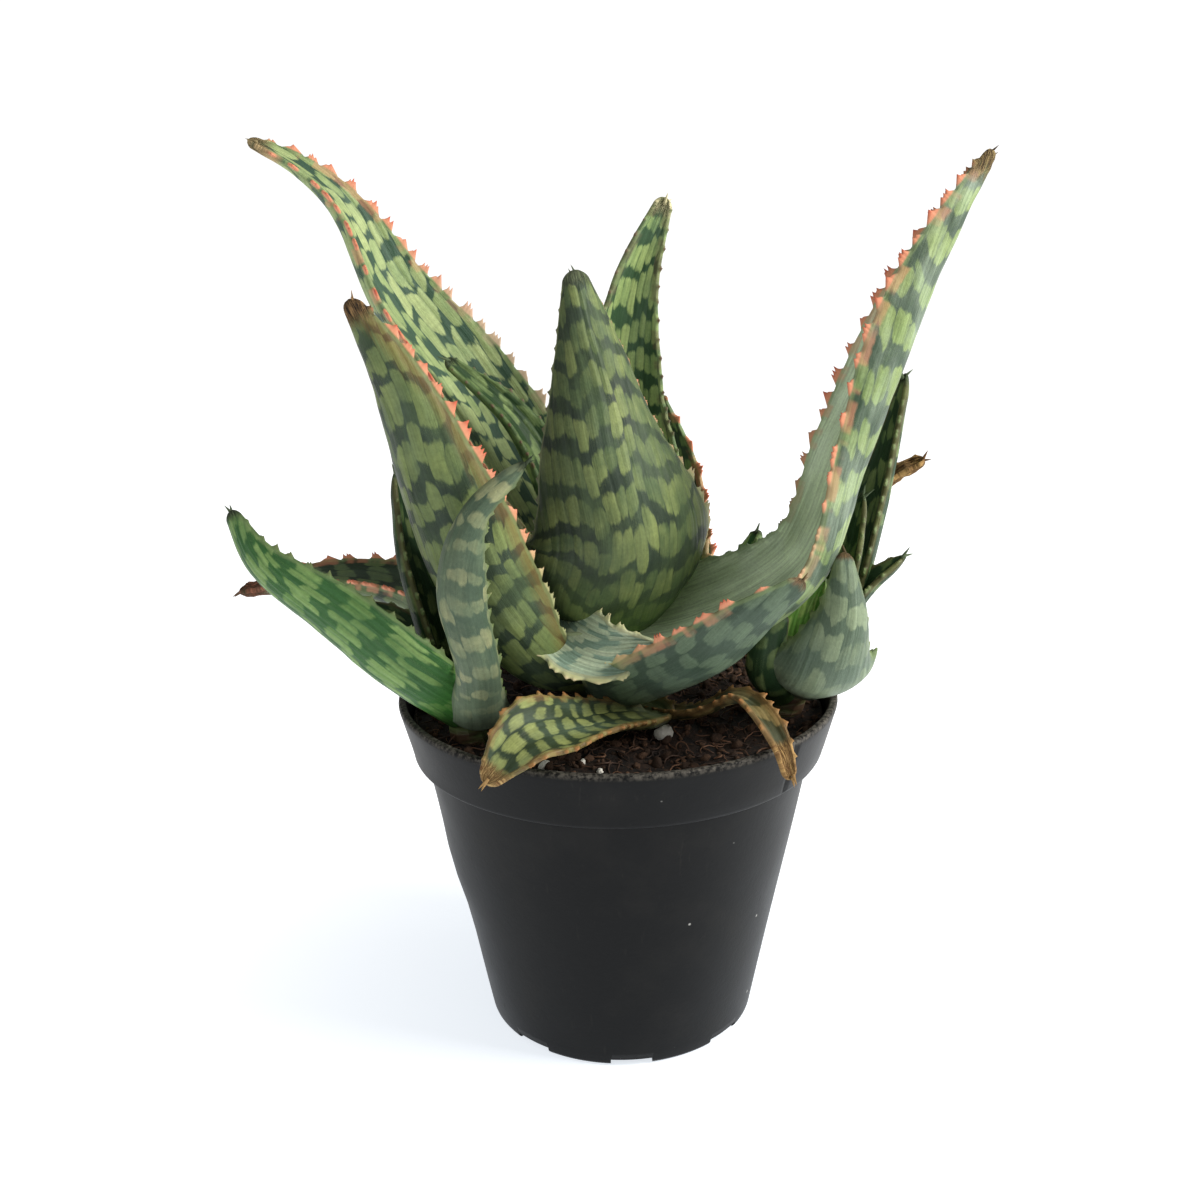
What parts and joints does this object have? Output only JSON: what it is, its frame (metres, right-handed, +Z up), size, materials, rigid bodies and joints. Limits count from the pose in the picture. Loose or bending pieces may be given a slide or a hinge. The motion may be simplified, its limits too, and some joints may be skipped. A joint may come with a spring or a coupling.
{
  "type": "potted mauna kea aloe",
  "caption": "Aloe rosette with thick, channelled, toothed and banded leaves and two offset plants, rooted in soil in a tapered black nursery pot.",
  "frame": {"origin": "the middle of the pot's flat base, on the surface that the pot stands on", "axes": "+Z up along the pot's axis; -Y towards the camera of the picture; +X to the right as seen from there"},
  "size_m": [0.1759, 0.1297, 0.2136],
  "materials": {
    "pot_plastic": "satin",
    "potting_soil": "matte",
    "stem_tissue": "matte",
    "leaf_main": "satin",
    "leaf_grey": "satin",
    "leaf_fresh": "satin",
    "leaf_dry": "matte"
  },
  "bodies": {
    "root": {"pot": "pot_plastic", "soil": "potting_soil", "stem_main": "stem_tissue", "stem_pup_left": "stem_tissue", "stem_pup_right": "stem_tissue", "leaf_low_left": "leaf_grey", "leaf_low_back": "leaf_main", "leaf_low_right": "leaf_grey", "leaf_right_behind": "leaf_fresh", "leaf_back_wide": "leaf_main", "leaf_front_left": "leaf_main", "leaf_upper_left": "leaf_main", "leaf_long_right": "leaf_grey", "leaf_back_upright": "leaf_main", "leaf_centre": "leaf_main", "leaf_inner_left": "leaf_main", "leaf_short_front": "leaf_grey", "leaf_over_rim": "leaf_fresh", "leaf_dried": "leaf_dry", "left_pup_leaf_long": "leaf_fresh", "left_pup_leaf_front": "leaf_grey", "left_pup_leaf_upright": "leaf_fresh", "left_pup_leaf_back": "leaf_fresh", "right_pup_leaf_front": "leaf_grey", "right_pup_leaf_narrow": "leaf_fresh", "right_pup_leaf_tall": "leaf_fresh", "right_pup_leaf_outer": "leaf_fresh", "right_pup_leaf_dry_tip": "leaf_dry", "right_pup_leaf_toothed": "leaf_fresh", "right_pup_leaf_inner": "leaf_fresh"}
  },
  "joints": []
}
